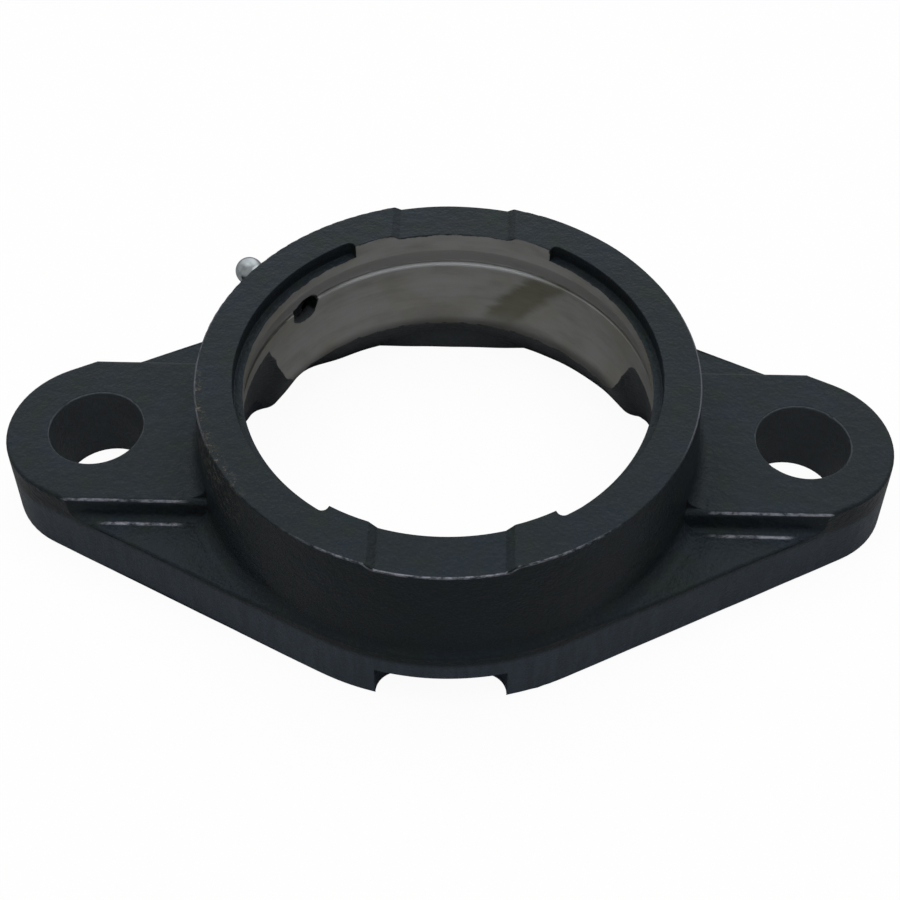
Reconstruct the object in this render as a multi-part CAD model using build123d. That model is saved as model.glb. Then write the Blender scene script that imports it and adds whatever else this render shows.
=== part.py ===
from build123d import *
import os
from math import cos, radians, sin, sqrt, tan

# Two-bolt flanged housing for an insert bearing. The bore axis is Z, the mounting face is z = 0 and the bolt
# holes lie on X. Sizes are millimetres, angles are degrees.

# Spherical seat for the insert
seat_radius = 42.5
seat_height = 22.0
seat_foot_height = 10.5
seat_top_height = 32.8

# Hub round the seat
hub_height = 38.5
hub_wall_thickness = 7.9
hub_draft = 4.0
hub_rim_rounding = 0.3
hub_cove = 3.5
recess_half_width = 13.4
recess_end_run = 1.7
recess_depth = 1.15

# Flange
bolt_spacing = 148.0
bolt_hole_radius = 9.75
bolt_hole_rounding = 0.5
ear_radius = 19.4
base_step = 0.5
flange_height = 13.9
pad_rise = 4.6
pad_half_width = 19.6
side_draft = 2.0
pad_draft = 6.0
top_rounding = 0.8
foot_rounding = 1.2
pad_rounding = 1.2
pad_cove = 1.2
pad_sink = 3.0

# Arc pockets in the bore's mouth
pocket_width = 1.75
pocket_depth = 3.15
pocket_half_angle = 59.5
pocket_end_rounding = 1.3

# Cored relief between the seat and the mounting face
relief_width = 3.9
relief_flat_width = 0.7
core_shift = 0.5

# Grease groove round the seat
groove_height = 28.5
groove_nose_radius = 1.2
groove_depth = 0.5

# Loading slots, where the insert goes in on edge
slot_height = 24.4
slot_width = 7.0
slot_half_width = 22.6
slot_draft = 11.0
slot_rounding = 4.0

# Notches under the front and rear edge
notch_half_width = 12.8
notch_height = 8.4
notch_depth = 6.8
notch_corner = 4.5

# Grease nipple: straight, ball-headed, on an M8 x 1 thread drawn at its pitch radius
nipple_azimuth = 139.0
nipple_height = 27.1
nipple_standoff = 1.4
grease_hole_radius = 3.5
tapped_depth = 6.5
thread_radius = 3.675
thread_length = 5.5
thread_lead_in = 0.5
hexagon_width = 9.0
hexagon_thickness = 3.0
hexagon_chamfer = 0.6
neck_radius = 2.35
head_radius = 3.1
head_centre = 7.4
head_flat_radius = 1.45
head_cove = 0.8

# Valve inside the nipple
mouth_radius = 0.8
valve_bore_radius = 1.5
mouth_length = 0.5
ball_radius = 1.25
ball_clearance = 0.04
crimp_radius = 0.75
crimp_thickness = 0.6
spring_wire_radius = 0.15
spring_radius = 0.95
spring_turns = 7
spring_clearance = 0.03

# Lengths that only have to pass a face, or the whole housing
overcut = 1.0
far = bolt_spacing
rim_tolerance = 0.01

ear_x = bolt_spacing / 2
ear_height = flange_height + pad_rise
seat_centre = (0, 0, seat_height)
lip_radius = sqrt(seat_radius**2 - (seat_top_height - seat_height) ** 2)
pocket_radius = lip_radius + pocket_width
hub_rim_radius = seat_radius + hub_wall_thickness
hub_foot_radius = hub_rim_radius + hub_height * tan(radians(hub_draft))
base_radius = hub_foot_radius + base_step

# Places along the nipple's axis, counted outwards from the hub's wall
thread_end = nipple_standoff - thread_length
crimp_top = thread_end + crimp_thickness
head_middle = nipple_standoff + head_centre
nipple_tip = head_middle + sqrt(head_radius**2 - head_flat_radius**2)
valve_seat_end = nipple_tip - mouth_length
ball_middle = valve_seat_end + mouth_radius - sqrt(2) * (ball_radius + ball_clearance)


def hub_wall(height):
    """Outer radius of the hub at a height above the mounting face."""
    return hub_foot_radius - height * tan(radians(hub_draft))


def seat_wall(height):
    """Radius of the spherical seat at a height above the mounting face."""
    return sqrt(seat_radius**2 - (height - seat_height) ** 2)


def flange_outline(height):
    """Outline of the drafted flange at a height: three circles joined by their tangents."""
    draft = height * tan(radians(side_draft))
    ears = [Pos(side * ear_x, 0) * Edge.make_circle(ear_radius - draft) for side in (-1, 1)]
    return Pos(0, 0, height) * make_hull([Edge.make_circle(base_radius - draft), *ears])


def flange_prism(height):
    """Drafted block on the flange's outline, rounded at its foot."""
    block = loft([flange_outline(0), flange_outline(height)], ruled=True)
    return fillet(block.edges().group_by(Axis.Z)[0], foot_rounding)


def cove_ring(level):
    """Hub up to its rim, with a ledge at a level and a cove where the wall meets the ledge."""
    ledge_radius = hub_wall(level) + hub_cove + overcut
    wall = Polygon(
        (0, 0), (hub_foot_radius, 0), (hub_rim_radius, hub_height), (0, hub_height), align=None
    )
    ledge = Polygon((0, 0), (ledge_radius, 0), (ledge_radius, level), (0, level), align=None)
    profile = wall + ledge
    corner = profile.vertices().sort_by_distance((hub_wall(level), level))[0]
    return revolve(Plane.XZ * fillet(corner, hub_cove), Axis.Z)


def pad_bar():
    """Bar along X that both ear pads are cut from, with sloping sides, round edges and coved feet."""
    foot_half_width = pad_half_width + pad_rise * tan(radians(pad_draft))
    reach = foot_half_width + pad_cove + overcut
    foot = flange_height - pad_sink
    step = [(reach, flange_height), (foot_half_width, flange_height), (pad_half_width, ear_height)]
    right = [(reach, foot), *step]
    left = [(-across, height) for across, height in reversed(right)]
    section = Polygon(*right, *left, align=None)
    feet = section.vertices().group_by(Axis.Y)[1].sort_by(lambda v: abs(v.X))[:2]
    section = fillet(feet, pad_cove)
    section = fillet(section.vertices().group_by(Axis.Y)[-1], pad_rounding)
    return extrude(Plane.YZ * section, amount=far, both=True)


def pad_space():
    """Room over the pads, as wide as they are, that the cove between pad and hub stays in."""
    width = 2 * (pad_half_width - pad_rounding)
    height = hub_height - hub_rim_rounding
    return Pos(0, 0, height / 2) * Box(far, width, height)


def is_flange_rim(edge):
    """True for an edge that runs round the top of the flange's drafted side."""
    start, middle, end = edge @ 0, edge @ 0.5, edge @ 1
    if middle.Z < flange_height - overcut or abs(start.Z - end.Z) > overcut:
        return False
    return flange_outline(middle.Z).wire().distance_to(middle) < rim_tolerance


def housing_blank():
    """Outside of the casting, before its bore and holes."""
    ears = flange_prism(ear_height)
    ears = fillet(ears.edges().group_by(Axis.Z)[-1], top_rounding)
    hub = cove_ring(flange_height)
    hub = fillet(hub.edges().group_by(Axis.Z)[-1], hub_rim_rounding)
    flange = flange_prism(flange_height) + (hub & flange_prism(hub_height))
    flange = fillet(flange.edges().filter_by(is_flange_rim), top_rounding)
    return flange + (ears & pad_bar()) + (cove_ring(ear_height) & pad_space())


def bore():
    """Everything turned out of the hub: the lip, the spherical seat and its groove."""
    lip_length = hub_height - seat_height + overcut
    lip = Pos(0, 0, seat_height + lip_length / 2) * Cylinder(lip_radius, lip_length)
    seat = Pos(*seat_centre) * Sphere(seat_radius)
    groove_centre = seat_wall(groove_height) + groove_depth - groove_nose_radius
    groove = Pos(0, 0, groove_height) * Torus(groove_centre, groove_nose_radius)
    return lip + seat + groove


def relief():
    """Cored flare under the seat, flattened at the front and rear behind the notches."""
    foot_radius = seat_radius + relief_width
    flare = (foot_radius - seat_wall(seat_foot_height)) / seat_foot_height
    height = seat_height + overcut
    cone = Pos(0, 0, height / 2 - overcut) * Cone(
        foot_radius + flare * overcut, foot_radius - flare * seat_height, height
    )
    flat = 2 * (seat_radius + relief_flat_width)
    return cone & Pos(0, 0, height / 2 - overcut) * Box(far, flat, height)


def loading_slots():
    """Slots on both sides of the bore, wide enough to take the insert on edge."""
    foot_radius = seat_radius + slot_width
    flare = (foot_radius - seat_wall(slot_height)) / slot_height
    narrowing = tan(radians(slot_draft))
    height = slot_height + overcut
    cone = Pos(0, 0, height / 2 - overcut) * Cone(
        foot_radius + flare * overcut, seat_wall(slot_height), height
    )
    low = slot_half_width + narrowing * overcut
    high = slot_half_width - narrowing * slot_height
    section = Polygon(
        (-low, -overcut), (low, -overcut), (high, slot_height), (-high, slot_height), align=None
    )
    slots = cone & extrude(Plane.YZ * section, amount=far, both=True)
    return fillet(slots.edges().filter_by(GeomType.HYPERBOLA), slot_rounding)


def cored_space():
    """Relief and slots as one core leaves them, with rounded corners and a little off the bore's axis."""
    core = relief() + loading_slots()
    corners = core.edges().filter_by(GeomType.HYPERBOLA).sort_by(lambda e: abs(e.center().X))[-4:]
    return Pos(-core_shift, 0) * fillet(corners, slot_rounding)


def arc_pocket(side):
    """Shallow cast pocket along one side of the bore's mouth, with rounded ends."""
    across = far * tan(radians(pocket_half_angle))
    wedge = Polygon((0, 0), (far, -across), (far, across), align=None)
    sector = (Circle(pocket_radius) - Circle(lip_radius - overcut)) & wedge
    ends = sector.vertices().filter_by(lambda v: v.center().length > lip_radius)
    pocket = extrude(fillet(ends, pocket_end_rounding), amount=pocket_depth + overcut)
    return Pos(0, 0, hub_height - pocket_depth) * Rot(0, 0, 0 if side > 0 else 180) * pocket


def face_recess(side):
    """Shallow straight recess across the top face at the front or rear, with sloping ends, left bare."""
    floor = recess_half_width - recess_end_run
    slope = recess_end_run / recess_depth
    mouth = recess_half_width + slope * overcut
    section = Polygon(
        (-floor, -recess_depth), (floor, -recess_depth), (mouth, overcut), (-mouth, overcut), align=None
    )
    return Pos(0, 0, hub_height) * extrude(Plane.XZ * section, amount=-side * far)


def edge_notch(side):
    """Round-cornered notch under the front or rear edge, short of the bore."""
    back = base_radius - notch_depth
    block = Pos(0, side * (back + notch_depth), (notch_height - overcut) / 2) * Box(
        2 * notch_half_width, 2 * notch_depth, notch_height + overcut
    )
    corners = block.edges().filter_by(Axis.Z).sort_by(lambda e: abs(e.center().Y))[:2]
    return fillet(corners, notch_corner)


def bolt_hole(side):
    """Clearance hole through one ear, rounded at its upper mouth."""
    hole = Pos(0, 0, ear_height / 2) * Cylinder(bolt_hole_radius, ear_height + 2 * overcut)
    wide = bolt_hole_radius + bolt_hole_rounding
    mouth = Polygon((0, 0), (wide, 0), (wide, -bolt_hole_rounding), (0, -bolt_hole_rounding), align=None)
    mouth -= Pos(wide, -bolt_hole_rounding) * Circle(bolt_hole_rounding)
    return Pos(side * ear_x, 0) * (hole + Pos(0, 0, ear_height) * revolve(Plane.XZ * mouth, Axis.Z))


def nipple_frame():
    """Frame on the hub's wall with its Z axis pointing out along the nipple and its Y axis up."""
    across, along = cos(radians(nipple_azimuth)), sin(radians(nipple_azimuth))
    wall = hub_wall(nipple_height)
    foot = (wall * across, wall * along, nipple_height)
    return Plane(foot, x_dir=(-along, across, 0), z_dir=(across, along, 0))


def grease_hole():
    """Drilled passage from the outside to the seat, tapped for the nipple."""
    wall = hub_wall(nipple_height) - seat_wall(nipple_height)
    length = wall + 2 * overcut + hub_rim_rounding
    passage = Pos(0, 0, overcut - length / 2) * Cylinder(grease_hole_radius, length)
    thread = Pos(0, 0, (overcut - tapped_depth) / 2) * Cylinder(thread_radius, tapped_depth + overcut)
    return nipple_frame() * (passage + thread)


def flange_housing():
    """The casting, machined and drilled."""
    casting = housing_blank()
    casting = casting - bore() - cored_space() - grease_hole()
    for side in (-1, 1):
        casting -= edge_notch(side)
        casting -= arc_pocket(side)
        casting -= face_recess(side)
        casting -= bolt_hole(side)
    return casting


def turned(radius, low, high):
    """Cylinder on the nipple's axis between two distances from the hub's wall."""
    return Pos(0, 0, (low + high) / 2) * Cylinder(radius, high - low)


def nipple_hexagon():
    """Spanner hexagon with its corners turned off at both ends."""
    corner_radius = hexagon_width / sqrt(3)
    blank = extrude(RegularPolygon(corner_radius, 6), amount=hexagon_thickness)
    disc = turned(corner_radius, 0, hexagon_thickness)
    disc = chamfer(disc.edges().filter_by(GeomType.CIRCLE), hexagon_chamfer)
    return Pos(0, 0, nipple_standoff) * (blank & disc)


def nipple_bore():
    """Way through the nipple: crimped end, spring chamber, ball seat and mouth."""
    seat_depth = valve_bore_radius - mouth_radius
    cone = Pos(0, 0, valve_seat_end - seat_depth / 2) * Cone(valve_bore_radius, mouth_radius, seat_depth)
    chamber = turned(valve_bore_radius, crimp_top, valve_seat_end - seat_depth)
    crimp = turned(crimp_radius, thread_end - overcut, crimp_top)
    return crimp + chamber + cone + turned(mouth_radius, valve_seat_end, nipple_tip + overcut)


def grease_nipple_body():
    """Turned steel body: thread, hexagon, neck and ball-shaped head with a flat tip."""
    thread = turned(thread_radius, thread_end, nipple_standoff)
    thread = chamfer(thread.edges().sort_by(Axis.Z)[0], thread_lead_in)
    neck = turned(neck_radius, nipple_standoff, head_middle)
    head = Pos(0, 0, head_middle) * Sphere(head_radius)
    head &= turned(2 * head_radius, nipple_standoff, nipple_tip)
    body = thread + nipple_hexagon() + neck + head
    rings = body.edges().filter_by(GeomType.CIRCLE).sort_by(lambda e: abs(e.radius - neck_radius))
    body = fillet(rings[:2], head_cove)
    return nipple_frame() * (body - nipple_bore())


def nipple_check_ball():
    """Ball that closes the mouth from inside, just clear of its conical seat."""
    return nipple_frame() * Pos(0, 0, ball_middle) * Sphere(ball_radius)


def nipple_spring():
    """Coil spring between the crimped end and the ball."""
    reach = ball_radius + spring_wire_radius + spring_clearance
    top = ball_middle - sqrt(reach**2 - spring_radius**2)
    bottom = crimp_top + spring_wire_radius + spring_clearance
    height = top - bottom
    coil = Helix(height / spring_turns, height, spring_radius)
    wire = Plane(coil @ 0, z_dir=coil % 0) * Circle(spring_wire_radius)
    return nipple_frame() * Pos(0, 0, bottom) * sweep(wire, path=coil, is_frenet=True)


os.makedirs("parts", exist_ok=True)
export_step(flange_housing(), "parts/flange_housing.step")
export_step(grease_nipple_body(), "parts/grease_nipple_body.step")
export_step(nipple_check_ball(), "parts/nipple_check_ball.step")
export_step(nipple_spring(), "parts/nipple_spring.step")
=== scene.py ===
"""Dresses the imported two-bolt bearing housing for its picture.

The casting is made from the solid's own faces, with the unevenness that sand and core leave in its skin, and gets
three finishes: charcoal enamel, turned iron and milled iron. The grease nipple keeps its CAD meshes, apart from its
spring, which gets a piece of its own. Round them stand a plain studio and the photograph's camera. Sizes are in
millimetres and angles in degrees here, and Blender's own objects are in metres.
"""

import logging
import math
from dataclasses import dataclass
from enum import IntEnum
from typing import NamedTuple

import bpy
import numpy as np
from mathutils import Matrix, Vector, noise


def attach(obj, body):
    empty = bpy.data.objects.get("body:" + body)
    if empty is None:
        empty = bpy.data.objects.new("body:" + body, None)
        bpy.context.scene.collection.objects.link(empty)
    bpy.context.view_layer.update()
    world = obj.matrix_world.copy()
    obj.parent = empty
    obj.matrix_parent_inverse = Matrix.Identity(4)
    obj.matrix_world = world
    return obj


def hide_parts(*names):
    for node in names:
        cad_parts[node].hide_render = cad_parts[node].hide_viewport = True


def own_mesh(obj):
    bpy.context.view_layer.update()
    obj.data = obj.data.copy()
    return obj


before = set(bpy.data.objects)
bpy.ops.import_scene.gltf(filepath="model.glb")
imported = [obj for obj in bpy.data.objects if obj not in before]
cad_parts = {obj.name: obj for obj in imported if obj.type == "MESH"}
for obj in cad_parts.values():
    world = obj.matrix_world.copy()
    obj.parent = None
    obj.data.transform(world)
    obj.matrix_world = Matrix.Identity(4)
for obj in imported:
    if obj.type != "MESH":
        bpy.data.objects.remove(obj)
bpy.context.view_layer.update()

MM = 0.001
SOFT_STEP = {"interpolation_type": "SMOOTHSTEP"}

# Names of the casting's point attributes: how far the nearest enamel is, and where the coat is thin and painted fill
# light lifts the shaded hollows.
PAINT_DISTANCE = "paint_distance"
THIN_PAINT_AND_FILL = "thin_paint_and_fill"
# Distance over which the first one is kept, which is the longest run of enamel over bare metal.
SPRAY_REACH = 3.0

Socket = bpy.types.NodeSocket
log = logging.getLogger("housing")


class Surface(IntEnum):
    """How a face of the casting was left, which is also its material's place on the mesh."""

    PAINTED = 0
    TURNED = 1
    MILLED = 2


def linear_colour(hex_code: str) -> tuple[float, float, float, float]:
    """Turns an sRGB hex colour into the linear colour that a shader takes.

    Args:
        hex_code: colour as "#RRGGBB".

    Returns:
        Linear red, green, blue and an alpha of 1.
    """
    parts = [int(hex_code[place : place + 2], 16) / 255 for place in (1, 3, 5)]
    flat = [part / 12.92 if part <= 0.04045 else ((part + 0.055) / 1.055) ** 2.4 for part in parts]
    return (*flat, 1.0)


def add_node(
    tree: bpy.types.NodeTree, kind: str, inputs: dict, output: int | str = 0, **settings: object
) -> Socket | None:
    """Adds a node to a shader tree with its settings and links.

    Args:
        tree: shader tree that gets the node.
        kind: Blender's name for the type of node, without its first part.
        inputs: what each input takes, by its name or number: a socket to link, a hex colour or a plain value.
        output: name or number of the output that is wanted.
        settings: the node's own properties.

    Returns:
        The wanted output, or None from a node that has no outputs.
    """
    node = tree.nodes.new("ShaderNode" + kind)
    for name, value in settings.items():
        setattr(node, name, value)
    for name, value in inputs.items():
        if isinstance(value, Socket):
            tree.links.new(value, node.inputs[name])
        else:
            node.inputs[name].default_value = linear_colour(value) if isinstance(value, str) else value
    return node.outputs[output] if node.outputs else None


class Grain(NamedTuple):
    """A cloudy pattern: the size of its blots, its number of finer layers and their strength."""

    size: float
    layers: float
    strength: float = 0.5

    def over(self, place: Socket) -> dict:
        """Inputs of a noise texture that draws this grain over a place."""
        return {"Vector": place, "Scale": 1 / self.size, "Detail": self.layers, "Roughness": self.strength}


class Step(NamedTuple):
    """A change from low, where a value is at its start, to high, where it is at its stop."""

    start: float
    stop: float
    low: float = 0.0
    high: float = 1.0

    def over(self, value: Socket) -> dict:
        """Inputs of a map range node that makes this change as a value runs."""
        return {"Value": value, "From Min": self.start, "From Max": self.stop, "To Min": self.low, "To Max": self.high}


class Band(NamedTuple):
    """A stretch of a value to either side of its middle, which fades at its two ends."""

    middle: float
    reach: float
    fade: float

    def end(self) -> Step:
        """The change at the band's end, by the distance from its middle: 0 outside and 1 inside."""
        return Step(self.reach, self.reach - self.fade)


class Mark(NamedTuple):
    """A mark on a surface: what each value must be for it to show, and how strongly it shows."""

    limits: tuple[tuple[str, Step | Band], ...]
    strength: float = 1.0


class Shade:
    """A material under construction, with the values that its marks go by.

    The values are x, y and z in millimetres, radius (distance from the bore's axis) and out (distance from the
    plane midway between the bolt holes). A finish adds patterns of its own.
    """

    def __init__(self, name: str) -> None:
        """Starts an empty material.

        Args:
            name: name of the material.
        """
        self.material = bpy.data.materials.new(name)
        self.material.use_nodes = True
        self.material.node_tree.nodes.clear()
        metres = self.add("TexCoord", {}, "Object")
        self.place = self.add("VectorMath", {0: metres, "Scale": 1 / MM}, operation="SCALE")
        self.values = {axis.lower(): self.add("SeparateXYZ", {0: self.place}, axis) for axis in "XYZ"}
        flat = self.add("CombineXYZ", {"X": self.values["x"], "Y": self.values["y"]})
        self.values["radius"] = self.add("VectorMath", {0: flat}, "Value", operation="LENGTH")
        self.values["out"] = self.add("Math", {0: self.values["x"]}, operation="ABSOLUTE")

    def add(self, kind: str, inputs: dict, output: int | str = 0, **settings: object) -> Socket | None:
        """Adds a node to this material, as add_node does."""
        return add_node(self.material.node_tree, kind, inputs, output, **settings)

    def folded(self, operation: str, *parts: Socket | float) -> Socket:
        """Joins values into one, two at a time.

        Args:
            operation: Blender's name for what is done with each two.
            parts: the values.

        Returns:
            The joined value.
        """
        total = parts[0]
        for part in parts[1:]:
            total = self.add("Math", {0: total, 1: part}, operation=operation)
        return total

    def marked(self, mark: Mark) -> Socket:
        """Draws a mark where all of its limits hold.

        Args:
            mark: the mark.

        Returns:
            How strongly it shows, from 0 to 1.
        """
        shares = []
        for name, limit in mark.limits:
            value = self.values[name]
            if isinstance(limit, Band):
                value = self.add("Math", {0: value, 1: limit.middle}, operation="SUBTRACT")
                value = self.add("Math", {0: value}, operation="ABSOLUTE")
                limit = limit.end()
            shares.append(self.add("MapRange", limit.over(value), **SOFT_STEP))
        return self.folded("MULTIPLY", *shares, mark.strength)

    def coated(self, base: Socket | str, *coats: tuple[Socket, str]) -> Socket:
        """Lays coats of colour over a base colour.

        Args:
            base: colour underneath.
            coats: how much each coat covers, from 0 to 1, and its colour, the lowest coat first.

        Returns:
            The colour that is seen.
        """
        colour = base
        for cover, coat in coats:
            colour = self.add("Mix", {0: cover, 6: colour, 7: coat}, 2, data_type="RGBA")
        return colour

    def finish(self, inputs: dict) -> bpy.types.Material:
        """Closes the material with its surface shader.

        Args:
            inputs: what the surface shader's inputs take.

        Returns:
            The material.
        """
        self.add("OutputMaterial", {"Surface": self.add("BsdfPrincipled", inputs)})
        return self.material


@dataclass(frozen=True)
class CharcoalEnamel:
    """Charcoal machinery enamel, sprayed thinly over sand-cast grey iron.

    The sand leaves a fine pebbled skin under the enamel, and the enamel pulls away from edges, so the eye sees a
    near-black satin with a bluish sheen, cloudy patches, and bright nicks where edges were knocked. Painted highlights
    run along the pads' top edges and feet and the rim's edges, and a painted sheen lightens the flange's sides. Sand
    grains of 0.3 mm are drawn at 0.7 mm to show.
    """

    # Enamel's usual index, with less sheen than the usual 0.5, because the pebbled coat spreads it
    body: str = "#1D2124"
    sheen_tint: str = "#CBE4F3"
    sheen: float = 0.26
    index: float = 1.5
    gloss: Step = Step(0.6, 1.4, 0.27, 0.47)

    # The enamel's own clouds, blue over wide areas and green in patches
    clouds: Grain = Grain(15.0, 3.0)
    cloud_step: Step = Step(0.38, 0.62)
    blue_cloud: str = "#1D2329"
    patches: Grain = Grain(6.0, 4.0)
    patch_step: Step = Step(0.45, 0.68)
    green_cloud: str = "#1F2422"

    # Pebbled skin: sand grains with dust on them, and the enamel's orange peel
    sand: Grain = Grain(0.7, 3.0, 0.6)
    sand_depth: float = 0.2
    dust_step: Step = Step(0.5, 0.75, high=0.55)
    dust: str = "#2C3135"
    peel: Grain = Grain(2.6, 2.0)
    peel_depth: float = 0.3
    soft_edge: float = 0.4
    edge_samples: int = 6

    # Thin coat in the cored space and the bolt holes, where hardly any spray got in; its lighter colour is also painted
    # fill light in these shaded hollows
    thin_coat_and_fill: str = "#4E5357"

    # Bluish painted sheen on the flange's sides, broken into streaks
    streaks: Grain = Grain(1.0, 3.0)
    streak_squeeze: tuple[float, float, float] = (1 / 1.4, 1 / 1.4, 1 / 14.0)
    side_sheen_colour: str = "#444E5A"
    side_sheen: Mark = Mark((("z", Step(13.2, 11.5)), ("out", Step(8.0, 60.0, 1.0, 0.8)), ("streaks", Step(0.3, 0.7, 0.7))))

    # Brown-grey casting scale that broke through on the hub's left front
    scale: Grain = Grain(1.6, 5.0, 0.8)
    scale_depth: float = 0.12
    cast_scale: str = "#66625B"
    scaled: Mark = Mark(
        (
            ("x", Step(-34.0, -42.0)),
            ("y", Band(-18.0, 20.0, 10.0)),
            ("z", Step(24.0, 34.0)),
            ("radius", Band(50.6, 2.6, 1.8)),
            ("scale", Step(0.5, 0.62)),
        ),
        0.8,
    )

    # Bare iron where edges were knocked, and painted highlights along the pads' top edges and feet and the rim's edges,
    # in the same colour; "above" is the height over the rim, which dips at the recessed pads
    breaks: Grain = Grain(1.0, 5.0, 0.75)
    break_squeeze: tuple[float, float, float] = (0.35, 0.7, 1.1)
    bare_edge_and_glint: str = "#8C8D98"
    rim_top: Step = Step(14.4, 12.4, 38.35, 37.25)
    # Knocked enamel and a painted highlight along the pads' front top edges
    pad_top_nicks_and_glint: Mark = Mark(
        (
            ("y", Band(-19.2, 0.3, 0.15)),
            ("z", Band(18.25, 0.4, 0.15)),
            ("out", Band(66.8, 15.5, 3.0)),
            ("breaks", Step(0.36, 0.6)),
        ),
        0.75,
    )
    # Painted highlight in the cove at the pads' front feet
    pad_foot_glint: Mark = Mark(
        (
            ("y", Band(-21.7, 0.6, 0.5)),
            ("z", Band(14.0, 0.5, 0.2)),
            ("out", Band(61.8, 9.6, 4.0)),
            ("breaks", Step(0.36, 0.62)),
        )
    )
    # Knocked enamel and a painted highlight along the rim's front edge
    rim_front_nicks_and_glint: Mark = Mark(
        (
            ("radius", Band(50.3, 0.32, 0.15)),
            ("above", Band(0.0, 0.35, 0.15)),
            ("x", Band(3.0, 36.0, 22.0)),
            ("y", Step(-34.0, -40.0)),
            ("breaks", Step(0.38, 0.62)),
        )
    )
    # Painted highlight along the rim's left and right edges
    rim_side_glint: Mark = Mark(
        (("radius", Band(50.3, 0.32, 0.15)), ("above", Band(0.0, 0.35, 0.15)), ("y", Band(0.0, 26.0, 14.0))), 0.35
    )
    rim_pits: Mark = Mark(
        (("radius", Band(50.3, 0.6, 0.3)), ("above", Step(-0.6, -0.3)), ("breaks", Step(0.66, 0.72))), 0.6
    )
    flecks: Mark = Mark((("breaks", Step(0.75, 0.79)),), 0.5)

    def build(self) -> bpy.types.Material:
        """Makes the material.

        Returns:
            The material.
        """
        shade = Shade("charcoal_enamel_on_sand_cast_iron")
        clouds = shade.add("TexNoise", self.clouds.over(shade.place))
        patches = shade.add("TexNoise", self.patches.over(shade.place))
        sand = shade.add("TexNoise", self.sand.over(shade.place))
        peel = shade.add("TexNoise", self.peel.over(shade.place))
        shade.values["scale"] = shade.add("TexNoise", self.scale.over(shade.place))
        scaled = shade.marked(self.scaled)
        colour = shade.coated(
            self.body,
            (shade.add("MapRange", self.cloud_step.over(clouds), **SOFT_STEP), self.blue_cloud),
            (shade.add("MapRange", self.patch_step.over(patches), **SOFT_STEP), self.green_cloud),
            (shade.add("MapRange", self.dust_step.over(sand)), self.dust),
            # Painted sheen on the flange's sides
            (self.sheened(shade), self.side_sheen_colour),
            # Thin coat, lighter also as painted fill light in the shaded hollows
            (shade.add("Attribute", {}, "Fac", attribute_name=THIN_PAINT_AND_FILL), self.thin_coat_and_fill),
            (scaled, self.cast_scale),
            # Knocked edges, and painted highlights along edges and at the pads' feet
            (self.knocked_and_glinting(shade), self.bare_edge_and_glint),
        )
        rough = shade.add("MapRange", self.gloss.over(shade.folded("ADD", patches, sand)))
        normal = shade.add("Bevel", {"Radius": self.soft_edge * MM}, samples=self.edge_samples)
        for height, depth in ((peel, self.peel_depth), (sand, self.sand_depth), (scaled, self.scale_depth)):
            normal = shade.add("Bump", {"Height": height, "Distance": depth * MM, "Normal": normal})
        inputs = {"Base Color": colour, "Roughness": rough, "Normal": normal, "IOR": self.index}
        return shade.finish({**inputs, "Specular IOR Level": self.sheen, "Specular Tint": self.sheen_tint})

    def sheened(self, shade: Shade) -> Socket:
        """Draws the painted streaky sheen on the flange's sides.

        Args:
            shade: the material.

        Returns:
            The mark, from 0 to 1.
        """
        squeezed = shade.add("VectorMath", {0: shade.place, 1: self.streak_squeeze}, operation="MULTIPLY")
        shade.values["streaks"] = shade.add("TexNoise", self.streaks.over(squeezed))
        return shade.marked(self.side_sheen)

    def knocked_and_glinting(self, shade: Shade) -> Socket:
        """Draws the knocked edges, pits and flecks where bare iron shows through, with the painted highlights along
        edges and at the pads' feet in the same colour.

        Args:
            shade: the material.

        Returns:
            The mark, from 0 to 1.
        """
        squeezed = shade.add("VectorMath", {0: shade.place, 1: self.break_squeeze}, operation="MULTIPLY")
        shade.values["breaks"] = shade.add("TexNoise", self.breaks.over(squeezed))
        rim_top = shade.add("MapRange", self.rim_top.over(shade.values["out"]), **SOFT_STEP)
        shade.values["above"] = shade.folded("SUBTRACT", shade.values["z"], rim_top)
        marks = (self.pad_top_nicks_and_glint, self.pad_foot_glint, self.rim_front_nicks_and_glint, self.rim_side_glint, self.rim_pits, self.flecks)
        return shade.folded("MAXIMUM", *(shade.marked(mark) for mark in marks))


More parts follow.
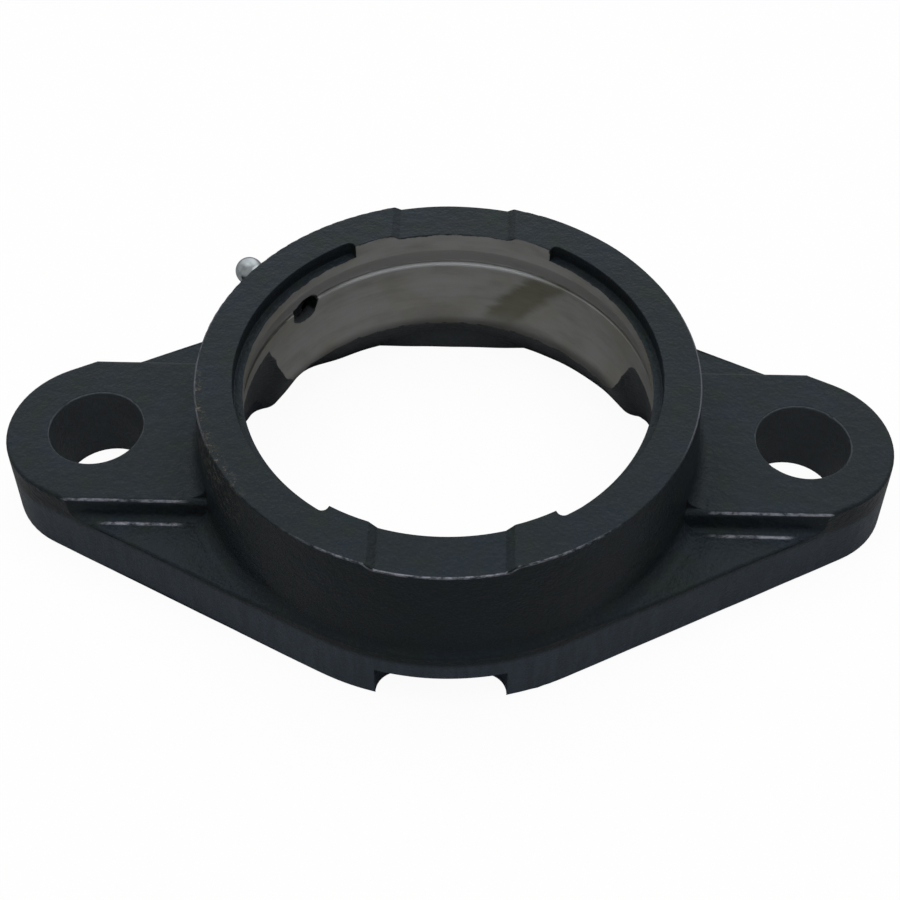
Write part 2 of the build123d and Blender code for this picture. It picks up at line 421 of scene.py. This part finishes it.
@dataclass(frozen=True)
class TurnedIron:
    """Bare grey cast iron, fine-turned on a lathe and oiled.

    The tool leaves rings round the bore about 0.1 mm apart, drawn here at 0.35 mm so that they show, and graphite
    and old oil dull the metal to a soft grey with olive patches.
    """

    # A turned face is as rough as this along its rings, and its reflections are drawn out across them
    metal: str = "#B5B5B4"
    gloss: Step = Step(0.3, 0.7, 0.3, 0.44)
    brushed: float = 0.5

    # Rings that the tool left, 24 mm long, and the seat's foot, which the cored space keeps in the dark
    rings: Grain = Grain(1.0, 2.0, 0.6)
    ring_squeeze: tuple[float, float, float] = (1 / 24.0, 1 / 24.0, 1 / 0.35)
    ring_shade: Step = Step(0.2, 0.8, 0.95, 1.04)
    ring_depth: float = 0.004
    foot_shade: Step = Step(10.5, 13.2, 0.4)

    # Oil and graphite: olive patches and smudges smeared round the bore; and painted shade, a darker band above the
    # groove where the seat faces slightly down
    patches: Grain = Grain(11.0, 4.0)
    patch_step: Step = Step(0.45, 0.7, high=0.7)
    olive: str = "#AAA89A"
    smudges: Grain = Grain(3.0, 5.0, 0.6)
    smear: tuple[float, float, float] = (0.3, 0.3, 1.0)
    smudge_step: Step = Step(0.42, 0.72, high=0.8)
    smudge: str = "#A6A5A2"
    # Painted shade: a darker band round the bore above the groove
    dull: Mark = Mark((("z", Band(30.8, 2.8, 2.4)),), 0.8)
    upper_seat_shade: str = "#A0A0A0"

    # Slanting oil stain on the rear of the seat; "across" runs over it from side to side
    stain_slant: float = -0.75
    stain_edge: Step = Step(0.2, 0.8, -1.6, 1.6)
    oil_stain: str = "#77755F"
    stain: Mark = Mark(
        (
            ("across", Band(0.8, 5.6, 3.4)),
            ("y", Step(20.0, 30.0)),
            ("z", Step(30.0, 27.0)),
            ("z", Step(11.0, 16.0, 0.35)),
        ),
        0.75,
    )

    # Painted highlight on the lower edge of the groove at the rear, which faces up
    groove_glint: Mark = Mark(
        (
            ("z", Band(27.7, 0.75, 0.45)),
            ("x", Band(-3.0, 30.0, 16.0)),
            ("y", Step(20.0, 32.0)),
            ("smudges", Step(0.68, 0.38, 0.8)),
        )
    )
    groove_glint_colour: str = "#E6EAEC"

    # Uneven border where enamel ran over the turned metal
    spray: Grain = Grain(2.6, 4.0, 0.6)
    spray_reach: Step = Step(0.35, 0.7, -0.1, 0.5)
    spray_edge: Step = Step(-0.2, 0.2)
    overspray: str = "#1E2225"

    def build(self) -> bpy.types.Material:
        """Makes the material.

        Returns:
            The material.
        """
        shade = Shade("oiled_fine_turned_grey_iron")
        squeezed = shade.add("VectorMath", {0: shade.place, 1: self.ring_squeeze}, operation="MULTIPLY")
        rings = shade.add("TexNoise", self.rings.over(squeezed))
        patches = shade.add("TexNoise", self.patches.over(shade.place))
        smeared = shade.add("VectorMath", {0: shade.place, 1: self.smear}, operation="MULTIPLY")
        smudges = shade.values["smudges"] = shade.add("TexNoise", self.smudges.over(smeared))
        colour = shade.coated(
            self.metal,
            (shade.add("MapRange", self.patch_step.over(patches), **SOFT_STEP), self.olive),
            (shade.add("MapRange", self.smudge_step.over(smudges), **SOFT_STEP), self.smudge),
            # Painted shade in a band above the groove
            (shade.marked(self.dull), self.upper_seat_shade),
            (self.stained(shade), self.oil_stain),
        )
        foot = shade.add("MapRange", self.foot_shade.over(shade.values["z"]), **SOFT_STEP)
        shaded = shade.folded("MULTIPLY", shade.add("MapRange", self.ring_shade.over(rings)), foot)
        colour = shade.add("VectorMath", {0: colour, "Scale": shaded}, operation="SCALE")
        groove_glint, sprayed = shade.marked(self.groove_glint), self.sprayed(shade)
        colour = shade.coated(colour, (groove_glint, self.groove_glint_colour), (sprayed, self.overspray))
        # The painted highlight on the groove, and the enamel, which is no metal, both lose the metal's mirror.
        metallic = shade.add("MapRange", {"Value": sprayed, "To Min": 1.0, "To Max": 0.0})
        metallic = shade.add("MapRange", {"Value": groove_glint, "To Min": metallic, "To Max": 0.0})
        rough = shade.add("MapRange", self.gloss.over(smudges))
        tangent = shade.add("Tangent", {}, direction_type="RADIAL", axis="Z")
        normal = shade.add("Bump", {"Height": rings, "Distance": self.ring_depth * MM})
        inputs = {"Base Color": colour, "Roughness": rough, "Tangent": tangent, "Normal": normal}
        return shade.finish({**inputs, "Metallic": metallic, "Anisotropic": self.brushed})

    def stained(self, shade: Shade) -> Socket:
        """Draws the oil stain.

        Args:
            shade: the material, whose smudges make the stain's edge uneven.

        Returns:
            The mark, from 0 to 1.
        """
        slant = shade.folded("MULTIPLY", shade.values["z"], self.stain_slant)
        edge = shade.add("MapRange", self.stain_edge.over(shade.values["smudges"]))
        shade.values["across"] = shade.folded("ADD", shade.values["x"], slant, edge)
        return shade.marked(self.stain)

    def sprayed(self, shade: Shade) -> Socket:
        """Draws the border where enamel ran over the turned metal.

        Args:
            shade: the material.

        Returns:
            The mark, from 0 to 1.
        """
        spray = shade.add("TexNoise", self.spray.over(shade.place))
        reach = shade.add("MapRange", self.spray_reach.over(spray))
        distance = shade.add("Attribute", {}, "Fac", attribute_name=PAINT_DISTANCE)
        inside = shade.folded("SUBTRACT", reach, distance)
        return shade.add("MapRange", self.spray_edge.over(inside), **SOFT_STEP)


@dataclass(frozen=True)
class MilledIron:
    """Bare grey cast iron, face-milled flat and oiled.

    A face mill sweeps arcs across the mounting face, so the eye sees a dull even grey with faint curved lines.
    Their real spacing of 0.3 mm is drawn at 1.2 mm to show.
    """

    metal: str = "#A9A9A6"
    gloss: Step = Step(0.0, 1.0, 0.3, 0.5)
    patches: Grain = Grain(14.0, 4.0)
    patch_step: Step = Step(0.4, 0.68, high=0.7)
    dull: str = "#8E8D86"
    cutter_radius: float = 80.0
    arcs: Grain = Grain(1.0, 3.0, 0.6)
    arc_pitch: float = 1.2
    arc_length: float = 60.0
    arc_depth: float = 0.02

    def build(self) -> bpy.types.Material:
        """Makes the material.

        Returns:
            The material.
        """
        shade = Shade("face_milled_grey_iron")
        x, y = shade.values["x"], shade.values["y"]
        bow = shade.folded("MULTIPLY", y, y, 1 / (2 * self.cutter_radius))
        sweep = shade.folded("MULTIPLY", shade.folded("ADD", x, bow), 1 / self.arc_pitch)
        along = shade.folded("MULTIPLY", y, 1 / self.arc_length)
        arcs = shade.add("TexNoise", self.arcs.over(shade.add("CombineXYZ", {"X": sweep, "Y": along})))
        patches = shade.add("TexNoise", self.patches.over(shade.place))
        patches = shade.add("MapRange", self.patch_step.over(patches), **SOFT_STEP)
        colour = shade.coated(self.metal, (patches, self.dull))
        rough = shade.add("MapRange", self.gloss.over(arcs))
        normal = shade.add("Bump", {"Height": arcs, "Distance": self.arc_depth * MM})
        return shade.finish({"Base Color": colour, "Roughness": rough, "Normal": normal, "Metallic": 1.0})


@dataclass(frozen=True)
class SmallSteel:
    """A small steel part, with clouds in its colour and fine lines in its gloss."""

    name: str
    metal: str
    cloud: str
    clouds: Grain
    lines: Grain
    gloss: Step
    cloud_step: Step = Step(0.4, 0.65)
    line_depth: float = 0.004

    def build(self) -> bpy.types.Material:
        """Makes the material.

        Returns:
            The material.
        """
        shade = Shade(self.name)
        clouds = shade.add("TexNoise", self.clouds.over(shade.place))
        clouds = shade.add("MapRange", self.cloud_step.over(clouds), **SOFT_STEP)
        lines = shade.add("TexNoise", self.lines.over(shade.place))
        colour = shade.coated(self.metal, (clouds, self.cloud))
        rough = shade.add("MapRange", self.gloss.over(lines))
        normal = shade.add("Bump", {"Height": lines, "Distance": self.line_depth * MM})
        return shade.finish({"Base Color": colour, "Roughness": rough, "Normal": normal, "Metallic": 1.0})


# Bright zinc plate on turned steel: a bluish white mirror, a little cloudy where the plate is thicker.
ZINC_PLATE = SmallSteel(
    "bright_zinc_plated_steel", "#C8D0D4", "#B0B8BC", Grain(1.8, 4.0), Grain(0.25, 3.0, 0.7), Step(0.0, 1.0, 0.14, 0.32)
)
# Hardened ball steel, lapped: a clear neutral mirror with hairlines.
BALL_STEEL = SmallSteel(
    "polished_ball_steel", "#C9CACC", "#BCBEC1", Grain(1.2, 4.0), Grain(0.2, 3.0, 0.7), Step(0.0, 1.0, 0.06, 0.12)
)
# Hard-drawn spring wire: darker and greyer, with the fine lines that the drawing plate left.
SPRING_WIRE = SmallSteel(
    "drawn_spring_wire", "#8E9094", "#7C7E83", Grain(0.8, 4.0), Grain(0.12, 3.0, 0.7), Step(0.0, 1.0, 0.22, 0.4)
)

# How a triangle is cut when some of its sides are halved. The key adds 1, 2 and 4 for its first, second and third
# side. Corners are 0 to 2, and the middle of side n is 3 + n.
CUTS = {
    0: [(0, 1, 2)],
    1: [(0, 3, 2), (3, 1, 2)],
    2: [(0, 1, 4), (0, 4, 2)],
    3: [(3, 1, 4), (0, 3, 4), (0, 4, 2)],
    4: [(0, 1, 5), (5, 1, 2)],
    5: [(0, 3, 5), (3, 1, 2), (3, 2, 5)],
    6: [(4, 2, 5), (0, 1, 4), (0, 4, 5)],
    7: [(0, 3, 5), (3, 1, 4), (5, 4, 2), (3, 4, 5)],
}


def dot(first: np.ndarray, second: np.ndarray) -> np.ndarray:
    """Dot product over the last axis, which it keeps."""
    return (first * second).sum(-1, keepdims=True)


def unit(vectors: np.ndarray) -> np.ndarray:
    """Scales vectors to length 1."""
    return vectors / np.maximum(np.linalg.norm(vectors, axis=-1, keepdims=True), 1e-12)


class Sides(NamedTuple):
    """The sides of a skin's triangles.

    The ends are the two points of each face's three sides (faces x 3 x 2), the numbers say which side each of them
    is (faces x 3), and the pairs are the two points of each numbered side (sides x 2).
    """

    ends: np.ndarray
    numbers: np.ndarray
    pairs: np.ndarray


@dataclass
class Skin:
    """Triangles of a solid with the exact normal at each of their corners, in millimetres."""

    points: np.ndarray
    faces: np.ndarray
    normals: np.ndarray
    surfaces: np.ndarray
    # Normals that agree less than this on the two faces of a side make it a crease.
    crease: float = 0.98

    @classmethod
    def from_mesh(cls, mesh: bpy.types.Mesh, weld: float = 0.001) -> "Skin":
        """Reads a mesh and joins the points that lie on each other.

        Args:
            mesh: triangle mesh in metres.
            weld: grid that points are joined on, in millimetres.

        Returns:
            The skin, with all of its faces painted.
        """
        points = np.empty(len(mesh.vertices) * 3, np.float32)
        mesh.vertices.foreach_get("co", points)
        corners = np.empty(len(mesh.loops), np.int32)
        mesh.loops.foreach_get("vertex_index", corners)
        normals = np.empty(len(mesh.loops) * 3, np.float32)
        mesh.corner_normals.foreach_get("vector", normals)
        points = points.reshape(-1, 3).astype(float) / MM
        keys = np.round(points / weld).astype(int)
        _, first, back = np.unique(keys, axis=0, return_index=True, return_inverse=True)
        faces = back.ravel()[corners].reshape(-1, 3)
        whole = (faces[:, 0] != faces[:, 1]) & (faces[:, 1] != faces[:, 2]) & (faces[:, 2] != faces[:, 0])
        normals = normals.reshape(-1, 3, 3).astype(float)
        return cls(points[first], faces[whole], normals[whole], np.full(whole.sum(), int(Surface.PAINTED)))

    def sides(self) -> Sides:
        """Numbers the sides, so that the faces on either side of one share its number.

        Returns:
            The sides.
        """
        ends = self.faces[:, [[0, 1], [1, 2], [2, 0]]]
        keys = ends.min(-1) * len(self.points) + ends.max(-1)
        _, first, numbers = np.unique(keys.ravel(), return_index=True, return_inverse=True)
        return Sides(ends, numbers.reshape(-1, 3), ends.reshape(-1, 2)[first])

    def middles(self, sides: Sides) -> tuple[np.ndarray, np.ndarray]:
        """Finds the middle of every side on the curved surface.

        The normals at a side's ends say how far its middle stands off the straight line. In a crease, each face
        tells only the part along its own normal, so the mean of the two is made longer by their angle.

        Args:
            sides: the skin's sides.

        Returns:
            The middle of each numbered side (sides x 3), and the normal there on each face (faces x 3 x 3).
        """
        chord = self.points[sides.ends[..., 1]] - self.points[sides.ends[..., 0]]
        at_start, at_stop = self.normals, self.normals[:, [1, 2, 0]]
        # The middle of a cubic curve stands off its chord by an eighth of the difference of its end slopes.
        bow = -(dot(chord, at_start) * at_start - dot(chord, at_stop) * at_stop) / 8
        normals = unit(at_start + at_stop)
        count = len(sides.pairs)
        total, tally, across = np.zeros((count, 3)), np.zeros((count, 1)), np.zeros((count, 3))
        np.add.at(total, sides.numbers.ravel(), bow.reshape(-1, 3))
        np.add.at(tally, sides.numbers.ravel(), 1)
        np.add.at(across, sides.numbers.ravel(), normals.reshape(-1, 3))
        bow = total / tally
        agreement = np.linalg.norm(across / tally, axis=1)
        creased = agreement < self.crease
        # A crease sharper than a right angle is made no longer than a right angle is, which doubles it.
        bow[creased] *= 1 / np.maximum(agreement[creased, None] ** 2, 0.5)
        return self.points[sides.pairs].sum(1) / 2 + bow, normals

    def halve(self, limit: float) -> bool:
        """Halves every side longer than a limit, with the new point on the curved surface.

        Args:
            limit: longest side that is left whole, in millimetres.

        Returns:
            True if a side was cut.
        """
        sides = self.sides()
        line = self.points[sides.pairs[:, 1]] - self.points[sides.pairs[:, 0]]
        long = np.linalg.norm(line, axis=1) > limit
        if not long.any():
            return False
        middles, middle_normals = self.middles(sides)
        places = np.full(len(long), -1)
        places[long] = len(self.points) + np.arange(long.sum())
        self.points = np.vstack([self.points, middles[long]])
        corner_points = np.concatenate([self.faces, places[sides.numbers]], 1)
        corner_normals = np.concatenate([self.normals, middle_normals], 1)
        pattern = (long[sides.numbers] * (1, 2, 4)).sum(1)
        faces, normals, surfaces = [], [], []
        for mask, pieces in CUTS.items():
            chosen = pattern == mask
            for piece in pieces:
                faces.append(corner_points[chosen][:, piece])
                normals.append(corner_normals[chosen][:, piece])
                surfaces.append(self.surfaces[chosen])
        self.faces, self.normals = np.vstack(faces), np.vstack(normals)
        self.surfaces = np.concatenate(surfaces)
        return True

    def distance(self, start: np.ndarray, reach: float) -> np.ndarray:
        """Distance of every point from the nearest of some points, measured along the sides.

        Args:
            start: True for the points at distance 0.
            reach: distance beyond which a point counts as infinitely far, in millimetres.

        Returns:
            The distances in millimetres.
        """
        one, other = self.sides().pairs.T
        length = np.linalg.norm(self.points[one] - self.points[other], axis=1)
        away = np.where(start, 0.0, np.inf)
        while True:
            tried = away.copy()
            np.minimum.at(tried, one, away[other] + length)
            np.minimum.at(tried, other, away[one] + length)
            tried[tried > reach] = np.inf
            if (tried == away).all():
                return away
            away = tried

    def touching(self, surface: Surface) -> np.ndarray:
        """Finds the points that the faces of one surface touch.

        Args:
            surface: how the faces were left.

        Returns:
            True for every such point.
        """
        touched = np.zeros(len(self.points), bool)
        touched[self.faces[self.surfaces == surface].ravel()] = True
        return touched

    def smooth(self) -> np.ndarray:
        """Finds the direction of the painted skin at each point, from the faces round it.

        Returns:
            The directions (points x 3), which are 0 away from the painted skin.
        """
        painted = self.faces[self.surfaces == Surface.PAINTED]
        corners = self.points[painted]
        flat = np.cross(corners[:, 1] - corners[:, 0], corners[:, 2] - corners[:, 0])
        total = np.zeros_like(self.points)
        np.add.at(total, painted.ravel(), np.repeat(flat, 3, axis=0))
        return unit(total)

    def to_mesh(self, name: str) -> bpy.types.Mesh:
        """Makes a Blender mesh that keeps the skin's own normals and knows how far the nearest enamel is.

        Args:
            name: name of the mesh.

        Returns:
            The mesh, in metres.
        """
        mesh = bpy.data.meshes.new(name)
        mesh.from_pydata((self.points * MM).tolist(), [], self.faces.tolist())
        mesh.polygons.foreach_set("material_index", self.surfaces.astype(np.int32))
        mesh.normals_split_custom_set(unit(self.normals).reshape(-1, 3).tolist())
        away = np.minimum(self.distance(self.touching(Surface.PAINTED), SPRAY_REACH), SPRAY_REACH)
        mesh.attributes.new(PAINT_DISTANCE, "FLOAT", "POINT").data.foreach_set("value", away.astype(np.float32))
        mesh.update()
        return mesh


@dataclass
class CastHousing:
    """The two-bolt flanged casting: rough cast skin outside, a turned spherical seat inside, a milled foot."""

    # Turned faces: the ball seat, the lip above it and the grease groove
    seat_radius: float = 42.5
    seat_height: float = 22.0
    lip_radius: float = 41.105
    groove_height: float = 28.5
    groove_centre: float = 41.298
    groove_radius: float = 1.2
    closeness: float = 0.02
    # The milled foot faces down, so the upward part of its normal lies under this
    foot_facing: float = -0.99

    # Space that the core left round the bore's foot, and the bolt holes
    core_radius: float = 46.4
    core_limit: float = 48.5
    core_height: float = 25.0
    bolt_x: float = 74.0
    bolt_hole_radius: float = 9.75
    hole_margin: float = 0.3

    # Unevenness of the cast skin, and the deeper one of the cored walls
    longest_side: float = 2.2
    waviness: float = 0.12
    wave_size: float = 10.0
    core_waviness: float = 0.5
    core_wave_size: float = 8.0
    core_wave_shift: tuple[float, float, float] = (20.0, 7.0, 3.0)
    true_margin: float = 1.2
    foot_reach: float = 8.0

    # Hollow in the cored wall at the left rear
    core_flaw: float = 1.9
    core_flaw_azimuth: float = 135.0
    core_flaw_width: float = 7.0

    paint: CharcoalEnamel = CharcoalEnamel()
    seat: TurnedIron = TurnedIron()
    foot: MilledIron = MilledIron()

    def machined(self, skin: Skin) -> np.ndarray:
        """Finds how each face was left, from where its corners lie.

        Args:
            skin: the casting's faces, straight from the solid.

        Returns:
            The Surface of each face.
        """
        corners = skin.points[skin.faces]
        radius, height = np.hypot(corners[..., 0], corners[..., 1]), corners[..., 2]
        from_seat = np.hypot(radius, height - self.seat_height) - self.seat_radius
        from_groove = np.hypot(radius - self.groove_centre, height - self.groove_height) - self.groove_radius
        from_lip = radius - self.lip_radius
        turned = [(abs(gap) < self.closeness).all(1) for gap in (from_seat, from_groove, from_lip)]
        inward = (skin.normals[..., :2] * corners[..., :2]).sum(-1).mean(1) < 0
        found = np.where(np.any(turned, axis=0) & inward, int(Surface.TURNED), int(Surface.PAINTED))
        down = skin.normals[..., 2].mean(1) < self.foot_facing
        return np.where((abs(height) < self.closeness).all(1) & down, int(Surface.MILLED), found)

    def depth_at(self, point: np.ndarray, cored: bool) -> float:
        """Finds how deep the cast skin lies under the solid's face.

        Args:
            point: the point, in millimetres.
            cored: True inside the cored space.

        Returns:
            The depth in millimetres.
        """
        here = Vector(point)
        # The noise runs from -1 to 1, and the depth from 0 to the whole waviness.
        depth = self.waviness * (0.5 + 0.5 * noise.noise(here / self.wave_size))
        if cored:
            core_wave = noise.noise(here / self.core_wave_size + Vector(self.core_wave_shift))
            off = (math.degrees(math.atan2(here.y, here.x)) - self.core_flaw_azimuth) / self.core_flaw_width
            depth += self.core_waviness * (0.5 + 0.5 * core_wave)
            depth += self.core_flaw * math.exp(-off * off)
        return depth

    def cored(self, skin: Skin, normals: np.ndarray) -> np.ndarray:
        """Finds the painted points of the cored space.

        Args:
            skin: the casting.
            normals: direction of the painted skin at each point.

        Returns:
            True for every such point.
        """
        radius = np.hypot(skin.points[:, 0], skin.points[:, 1])
        inward = (normals[:, :2] * skin.points[:, :2]).sum(1) < 0
        return inward & (radius < self.core_limit) & (skin.points[:, 2] < self.core_height)

    def roughen(self, skin: Skin) -> None:
        """Sinks the painted skin as sand and core left it, and keeps the machined faces true.

        The skin fades back to the solid's own face towards the turned metal. The cored walls move straight
        away from the bore's axis and push the milled foot ahead of them within its plane.

        Args:
            skin: the finely cut casting, which is changed.
        """
        before = skin.smooth()
        normals = before.copy()
        milled, painted = skin.touching(Surface.MILLED), skin.touching(Surface.PAINTED)
        turned = skin.touching(Surface.TURNED)
        radius = np.hypot(skin.points[:, 0], skin.points[:, 1])
        pushed = milled & ~painted & (radius < self.core_radius + self.foot_reach)
        outward = self.cored(skin, before) | pushed
        normals[outward, :2] = -skin.points[outward, :2]
        normals[outward | milled, 2] = 0
        normals = unit(normals)
        fade = np.clip(skin.distance(turned, self.true_margin) / self.true_margin, 0, 1)
        fade[milled & ~painted] = 0
        fade[pushed] = np.clip(1 - (radius[pushed] - self.core_radius) / self.foot_reach, 0, 1)
        depth = np.zeros(len(skin.points))
        for place in np.flatnonzero(fade > 0):
            depth[place] = self.depth_at(skin.points[place], outward[place])
        skin.points -= normals * (depth * fade)[:, None]
        tilt = skin.smooth() - before
        tilt[turned | milled] = 0
        skin.normals = unit(skin.normals + tilt[skin.faces])

    def thin_paint_and_fill(self, skin: Skin) -> np.ndarray:
        """Finds where little enamel got in and painted fill light lifts the shade: the cored space and the bolt holes.

        Args:
            skin: the casting.

        Returns:
            1 for every such point, and 0 elsewhere.
        """
        radius = np.hypot(skin.points[:, 0], skin.points[:, 1])
        to_bolt = np.hypot(abs(skin.points[:, 0]) - self.bolt_x, skin.points[:, 1])
        inside = (radius < self.core_limit) & (skin.points[:, 2] < self.core_height) & (skin.points[:, 2] > 0)
        return (inside | (to_bolt < self.bolt_hole_radius + self.hole_margin)).astype(np.float32)

    def build(self) -> bpy.types.Object:
        """Builds the casting from the solid's own faces and dresses it.

        Returns:
            The casting, which stays inside the solid's own box.
        """
        skin = Skin.from_mesh(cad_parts["flange_housing"].data)
        low, high = skin.points.min(0), skin.points.max(0)
        skin.surfaces = self.machined(skin)
        while skin.halve(self.longest_side):
            pass
        self.roughen(skin)
        skin.points = np.clip(skin.points, low, high)
        mesh = skin.to_mesh("cast_housing")
        mesh.attributes.new(THIN_PAINT_AND_FILL, "FLOAT", "POINT").data.foreach_set("value", self.thin_paint_and_fill(skin))
        for finish in (self.paint, self.seat, self.foot):
            mesh.materials.append(finish.build())
        casting = bpy.data.objects.new("cast_housing", mesh)
        bpy.context.scene.collection.objects.link(casting)
        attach(casting, "housing")
        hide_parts("flange_housing")
        return casting


@dataclass
class GreaseNipple:
    """The screwed-in grease nipple: a turned body and a check ball, held shut by a coil spring behind it."""

    azimuth: float = 139.0
    ball_travel: float = 0.8
    body_finish: SmallSteel = ZINC_PLATE
    ball_finish: SmallSteel = BALL_STEEL
    spring_finish: SmallSteel = SPRING_WIRE

    def dress(self, piece: bpy.types.Object, finish: SmallSteel) -> bpy.types.Object:
        """Gives a piece its finish in place of its plain one.

        Args:
            piece: piece to dress.
            finish: finish that it gets.

        Returns:
            The piece.
        """
        material = finish.build()
        for slot in piece.material_slots:
            slot.material = material
        return piece

    def spring(self) -> bpy.types.Object:
        """Makes the coil spring as a piece of its own, from the solid's spring.

        Returns:
            The spring.
        """
        coil = bpy.data.objects.new("valve_spring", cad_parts["nipple_spring"].data.copy())
        bpy.context.scene.collection.objects.link(coil)
        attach(coil, "housing")
        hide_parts("nipple_spring")
        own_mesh(coil)
        return coil

    def build(self) -> list[bpy.types.Object]:
        """Dresses the nipple's three pieces.

        Returns:
            The pieces.
        """
        return [
            self.dress(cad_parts["grease_nipple_body"], self.body_finish),
            self.dress(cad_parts["nipple_check_ball"], self.ball_finish),
            self.dress(self.spring(), self.spring_finish),
        ]


@dataclass
class Studio:
    """Plain pale floor, a white backdrop high behind the object, and one large soft lamp overhead.

    Lamp and floor sizes are in metres here, and the lamp's power is in watts.
    """

    white: str = "#FFFFFF"
    floor_grey: str = "#989898"
    floor_size: float = 6.0
    floor_shadow: float = 0.05
    lamp_size: float = 1.4
    lamp_place: tuple[float, float, float] = (0.0, 0.1, 1.3)
    lamp_power: float = 15.0
    fill: float = 0.2
    backdrop: tuple[float, float, float] = (0.0, 0.68, 0.73)
    backdrop_step: Step = Step(0.5, 0.88, 0.36, 0.92)

    def looked_at(self, tree: bpy.types.NodeTree) -> Socket:
        """1 for the rays that come straight from the camera, and 0 for every other ray."""
        return add_node(tree, "LightPath", {}, "Is Camera Ray")

    def mirrored(self, tree: bpy.types.NodeTree) -> Socket:
        """Tells the rays that come from a mirror or through glass.

        Args:
            tree: shader tree that asks.

        Returns:
            1 for such rays, and 0 for every other ray.
        """
        glossy = add_node(tree, "LightPath", {}, "Is Glossy Ray")
        through = add_node(tree, "LightPath", {}, "Is Transmission Ray")
        return add_node(tree, "Math", {0: glossy, 1: through}, operation="MAXIMUM")

    def floor(self) -> bpy.types.Object:
        """Builds the floor: white to the eye but for a faint shadow, and soft grey to other light.

        Returns:
            The floor.
        """
        half = self.floor_size / 2
        corners = [(-half, -half, 0), (half, -half, 0), (half, half, 0), (-half, half, 0)]
        mesh = bpy.data.meshes.new("floor")
        mesh.from_pydata(corners, [], [(0, 1, 2, 3)])
        material = bpy.data.materials.new("pale_floor")
        material.use_nodes = True
        tree = material.node_tree
        tree.nodes.clear()
        glow = add_node(tree, "Emission", {"Color": self.white, "Strength": 1.0})
        pale = add_node(tree, "BsdfDiffuse", {"Color": self.white})
        grey = add_node(tree, "BsdfDiffuse", {"Color": self.floor_grey})
        seen = add_node(tree, "MixShader", {0: self.floor_shadow, 1: glow, 2: pale})
        surface = add_node(tree, "MixShader", {0: self.looked_at(tree), 1: grey, 2: seen})
        add_node(tree, "OutputMaterial", {"Surface": surface})
        mesh.materials.append(material)
        floor = bpy.data.objects.new("floor", mesh)
        bpy.context.scene.collection.objects.link(floor)
        return floor

    def surroundings(self) -> bpy.types.World:
        """Makes the world white to the eye, a bright backdrop high at the rear in mirrors, and a dim fill.

        Returns:
            The world.
        """
        world = bpy.data.worlds.new("surroundings")
        world.use_nodes = True
        tree = world.node_tree
        tree.nodes.clear()
        direction = add_node(tree, "TexCoord", {}, "Generated")
        toward = add_node(tree, "VectorMath", {0: direction, 1: self.backdrop}, "Value", operation="DOT_PRODUCT")
        bright = add_node(tree, "MapRange", self.backdrop_step.over(toward), **SOFT_STEP)
        seen, mirror, fill = (
            add_node(tree, "Background", {"Color": self.white, "Strength": strength})
            for strength in (1.0, bright, self.fill)
        )
        surface = add_node(tree, "MixShader", {0: self.mirrored(tree), 1: fill, 2: mirror})
        surface = add_node(tree, "MixShader", {0: self.looked_at(tree), 1: surface, 2: seen})
        add_node(tree, "OutputWorld", {"Surface": surface})
        bpy.context.scene.world = world
        return world

    def lamp(self) -> bpy.types.Object:
        """Hangs the soft lamp over the object, out of its reflections.

        Returns:
            The lamp.
        """
        light = bpy.data.lights.new("soft_lamp", "AREA")
        light.shape = "SQUARE"
        light.size = self.lamp_size
        light.energy = self.lamp_power
        lamp = bpy.data.objects.new("soft_lamp", light)
        lamp.location = self.lamp_place
        lamp.visible_glossy = False
        bpy.context.scene.collection.objects.link(lamp)
        return lamp

    def build(self) -> None:
        """Builds the floor, the surroundings and the lamp, and sets the plain view."""
        self.floor()
        self.surroundings()
        self.lamp()
        bpy.context.scene.view_settings.view_transform = "Standard"


@dataclass
class PhotoCamera:
    """Camera at the photograph's place, aimed at a target on the mounting face's plane."""

    azimuth: float = 1.65
    elevation: float = 49.63
    roll: float = -0.07
    focal_pixels: float = 1503.8
    frame_pixels: float = 900.0
    sensor: float = 36.0
    nearest: float = 10.0
    distance: float = 336.0
    target: tuple[float, float, float] = (0.04, 11.38, 0.0)

    def build(self) -> bpy.types.Object:
        """Places the camera and makes it the scene's own.

        Returns:
            The camera.
        """
        around, up_angle = math.radians(self.azimuth), math.radians(self.elevation)
        level = math.cos(up_angle)
        back = Vector((math.sin(around) * level, -math.cos(around) * level, math.sin(up_angle)))
        right = Vector((math.cos(around), math.sin(around), 0.0))
        turn = Matrix((right, back.cross(right), back)).transposed()
        lens = bpy.data.cameras.new("photo_camera")
        lens.sensor_width = self.sensor
        lens.lens = self.focal_pixels * self.sensor / self.frame_pixels
        lens.clip_start = self.nearest * MM
        camera = bpy.data.objects.new("photo_camera", lens)
        place = (Vector(self.target) + back * self.distance) * MM
        roll = Matrix.Rotation(math.radians(self.roll), 4, "Z")
        camera.matrix_world = Matrix.Translation(place) @ turn.to_4x4() @ roll
        bpy.context.scene.collection.objects.link(camera)
        bpy.context.scene.camera = camera
        return camera


def main() -> None:
    """Builds the studio, the camera and the object's pieces, and reports them."""
    logging.basicConfig(level=logging.INFO, format="%(name)s: %(message)s")
    Studio().build()
    PhotoCamera().build()
    pieces = [CastHousing().build(), *GreaseNipple().build()]
    for piece in pieces:
        log.info("%s, %d faces", piece.name, len(piece.data.polygons))


if __name__ == "__main__":
    main()
